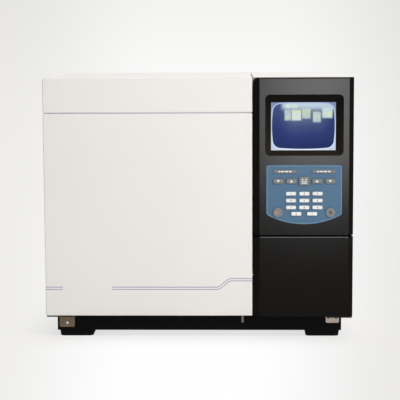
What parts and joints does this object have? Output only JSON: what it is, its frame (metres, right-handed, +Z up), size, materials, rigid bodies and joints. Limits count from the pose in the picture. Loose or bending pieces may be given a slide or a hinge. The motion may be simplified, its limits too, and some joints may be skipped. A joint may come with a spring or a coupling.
{
  "type": "gas chromatograph",
  "caption": "Bench-top gas chromatograph: oven with a side-hung door, lifting cover over injectors and detectors, and a console with display, keypad and gas controls.",
  "frame": {"origin": "middle of the object at bench height, under its bounding box", "axes": "+X to the right seen from the front, +Y to the rear, +Z up"},
  "size_m": [0.6, 0.53, 0.51],
  "materials": {
    "white_paint": "warm off-white powder coat, fine texture",
    "black_moulding": "black moulded plastic, fine matt texture",
    "black_paint": "black powder coat",
    "foot_rubber": "matt black rubber",
    "bracket_steel": "zinc plated steel",
    "stainless": "satin stainless steel",
    "galvanised": "galvanised sheet",
    "ceramic_fibre": "matt fibre block",
    "gasket_braid": "woven glass braid",
    "heater_wire": "oxidised resistance wire",
    "column_tube": "drawn stainless tube",
    "brass": "machined brass",
    "aluminium": "machined aluminium",
    "clear_window": "clear polished plate",
    "display_frame": "blue display field in a black frame",
    "overlay_blue": "blue printed film with two grey bars",
    "circuit_board": "green circuit board",
    "white_key": "white key cap",
    "grey_key": "grey key cap",
    "black_plastic": "black plastic",
    "copper": "laminated core and copper winding"
  },
  "bodies": {
    "chassis": {"base_frame": "black_paint", "feet": "foot_rubber", "hinge_brackets": "bracket_steel", "left_side_panel": "white_paint", "right_cover": "white_paint", "rear_panel": "galvanised", "oven_front_frame": "white_paint", "oven_liner": "stainless", "oven_jacket": "galvanised", "oven_insulation": "ceramic_fibre", "fan_baffle": "stainless", "heater_coil": "heater_wire", "fan_motor": "black_paint", "packed_column": "column_tube", "top_deck": "galvanised", "injectors": "aluminium", "septum_nuts": "stainless", "detectors": "aluminium", "fascia": "black_moulding", "display_window": "clear_window", "display_module": "display_frame", "keypad_overlay": "overlay_blue", "keypad_board": "circuit_board", "gas_panel": "galvanised", "pressure_gauges": "black_plastic", "gas_fittings": "brass", "mains_inlet": "black_plastic", "main_board": "circuit_board", "transformer": "copper"},
    "oven_door": {"oven_door_skin": "white_paint", "oven_door_liner": "stainless", "oven_door_insulation": "ceramic_fibre", "oven_door_gasket": "gasket_braid"},
    "release_rod": {"latch_pin": "bracket_steel"},
    "top_cover": {"top_cover": "white_paint"},
    "gas_door": {"gas_door": "black_moulding"},
    "vent_flap": {"vent_flap": "galvanised"},
    "oven_fan": {"oven_fan": "stainless"},
    "valve_knob_1": {"valve_knob_1": "black_plastic"},
    "valve_knob_2": {"valve_knob_2": "black_plastic"},
    "valve_knob_3": {"valve_knob_3": "black_plastic"},
    "power_rocker": {"power_rocker": "black_plastic"},
    "key_1": {"key_1": "white_key"},
    "key_2": {"key_2": "white_key"},
    "key_3": {"key_3": "white_key"},
    "key_4": {"key_4": "white_key"},
    "key_5": {"key_5": "white_key"},
    "key_6": {"key_6": "white_key"},
    "key_7": {"key_7": "white_key"},
    "key_8": {"key_8": "white_key"},
    "key_9": {"key_9": "white_key"},
    "key_0": {"key_0": "white_key"},
    "key_point": {"key_point": "white_key"},
    "key_left_down": {"key_left_down": "grey_key"},
    "key_left_up": {"key_left_up": "grey_key"},
    "key_right_up": {"key_right_up": "grey_key"},
    "key_right_down": {"key_right_down": "grey_key"},
    "key_menu": {"key_menu": "grey_key"},
    "key_start": {"key_start": "grey_key"},
    "key_stop": {"key_stop": "grey_key"}
  },
  "joints": [
    {"name": "oven_door_hinge", "type": "hinge", "parent": "chassis", "child": "oven_door", "pos_m": [-0.286, -0.243, 0.0455], "axis": [0, 0, -1], "range_deg": [0, 110]},
    {"name": "release_rod_slide", "type": "slide", "parent": "oven_door", "child": "release_rod", "axis": [0, 0, 1], "range_m": [0, 0.005], "stiffness_N_per_m": 150, "springref_m": -0.005},
    {"name": "top_cover_hinge", "type": "hinge", "parent": "chassis", "child": "top_cover", "pos_m": [-0.0975, 0.227, 0.4545], "axis": [-1, 0, 0], "range_deg": [0, 95]},
    {"name": "gas_door_hinge", "type": "hinge", "parent": "chassis", "child": "gas_door", "pos_m": [0.286, -0.251, 0.0455], "axis": [0, 0, 1], "range_deg": [0, 110]},
    {"name": "vent_flap_hinge", "type": "hinge", "parent": "chassis", "child": "vent_flap", "pos_m": [-0.1875, 0.239, 0.37425], "axis": [1, 0, 0], "range_deg": [0, 45]},
    {"name": "oven_fan_spin", "type": "hinge", "parent": "chassis", "child": "oven_fan", "pos_m": [-0.0975, -0.033, 0.24325], "axis": [0, 1, 0], "continuous": true},
    {"name": "valve_knob_1_turn", "type": "hinge", "parent": "chassis", "child": "valve_knob_1", "pos_m": [0.14, -0.226, 0.09574], "axis": [0, 1, 0], "range_deg": [0, 300]},
    {"name": "valve_knob_2_turn", "type": "hinge", "parent": "chassis", "child": "valve_knob_2", "pos_m": [0.187, -0.226, 0.09574], "axis": [0, 1, 0], "range_deg": [0, 300]},
    {"name": "valve_knob_3_turn", "type": "hinge", "parent": "chassis", "child": "valve_knob_3", "pos_m": [0.234, -0.226, 0.09574], "axis": [0, 1, 0], "range_deg": [0, 300]},
    {"name": "power_rocker_tilt", "type": "hinge", "parent": "chassis", "child": "power_rocker", "pos_m": [0.238, 0.236, 0.152], "axis": [-1, 0, 0], "range_deg": [0, 16]},
    {"name": "key_1_press", "type": "slide", "parent": "chassis", "child": "key_1", "axis": [0, 1, 0], "range_m": [0, 0.0012], "stiffness_N_per_m": 400, "springref_m": -0.002},
    {"name": "key_2_press", "type": "slide", "parent": "chassis", "child": "key_2", "axis": [0, 1, 0], "range_m": [0, 0.0012], "stiffness_N_per_m": 400, "springref_m": -0.002},
    {"name": "key_3_press", "type": "slide", "parent": "chassis", "child": "key_3", "axis": [0, 1, 0], "range_m": [0, 0.0012], "stiffness_N_per_m": 400, "springref_m": -0.002},
    {"name": "key_4_press", "type": "slide", "parent": "chassis", "child": "key_4", "axis": [0, 1, 0], "range_m": [0, 0.0012], "stiffness_N_per_m": 400, "springref_m": -0.002},
    {"name": "key_5_press", "type": "slide", "parent": "chassis", "child": "key_5", "axis": [0, 1, 0], "range_m": [0, 0.0012], "stiffness_N_per_m": 400, "springref_m": -0.002},
    {"name": "key_6_press", "type": "slide", "parent": "chassis", "child": "key_6", "axis": [0, 1, 0], "range_m": [0, 0.0012], "stiffness_N_per_m": 400, "springref_m": -0.002},
    {"name": "key_7_press", "type": "slide", "parent": "chassis", "child": "key_7", "axis": [0, 1, 0], "range_m": [0, 0.0012], "stiffness_N_per_m": 400, "springref_m": -0.002},
    {"name": "key_8_press", "type": "slide", "parent": "chassis", "child": "key_8", "axis": [0, 1, 0], "range_m": [0, 0.0012], "stiffness_N_per_m": 400, "springref_m": -0.002},
    {"name": "key_9_press", "type": "slide", "parent": "chassis", "child": "key_9", "axis": [0, 1, 0], "range_m": [0, 0.0012], "stiffness_N_per_m": 400, "springref_m": -0.002},
    {"name": "key_0_press", "type": "slide", "parent": "chassis", "child": "key_0", "axis": [0, 1, 0], "range_m": [0, 0.0012], "stiffness_N_per_m": 400, "springref_m": -0.002},
    {"name": "key_point_press", "type": "slide", "parent": "chassis", "child": "key_point", "axis": [0, 1, 0], "range_m": [0, 0.0012], "stiffness_N_per_m": 400, "springref_m": -0.002},
    {"name": "key_left_down_press", "type": "slide", "parent": "chassis", "child": "key_left_down", "axis": [0, 1, 0], "range_m": [0, 0.0012], "stiffness_N_per_m": 400, "springref_m": -0.002},
    {"name": "key_left_up_press", "type": "slide", "parent": "chassis", "child": "key_left_up", "axis": [0, 1, 0], "range_m": [0, 0.0012], "stiffness_N_per_m": 400, "springref_m": -0.002},
    {"name": "key_right_up_press", "type": "slide", "parent": "chassis", "child": "key_right_up", "axis": [0, 1, 0], "range_m": [0, 0.0012], "stiffness_N_per_m": 400, "springref_m": -0.002},
    {"name": "key_right_down_press", "type": "slide", "parent": "chassis", "child": "key_right_down", "axis": [0, 1, 0], "range_m": [0, 0.0012], "stiffness_N_per_m": 400, "springref_m": -0.002},
    {"name": "key_menu_press", "type": "slide", "parent": "chassis", "child": "key_menu", "axis": [0, 1, 0], "range_m": [0, 0.0012], "stiffness_N_per_m": 400, "springref_m": -0.002},
    {"name": "key_start_press", "type": "slide", "parent": "chassis", "child": "key_start", "axis": [0, 1, 0], "range_m": [0, 0.0012], "stiffness_N_per_m": 400, "springref_m": -0.002},
    {"name": "key_stop_press", "type": "slide", "parent": "chassis", "child": "key_stop", "axis": [0, 1, 0], "range_m": [0, 0.0012], "stiffness_N_per_m": 400, "springref_m": -0.002}
  ]
}
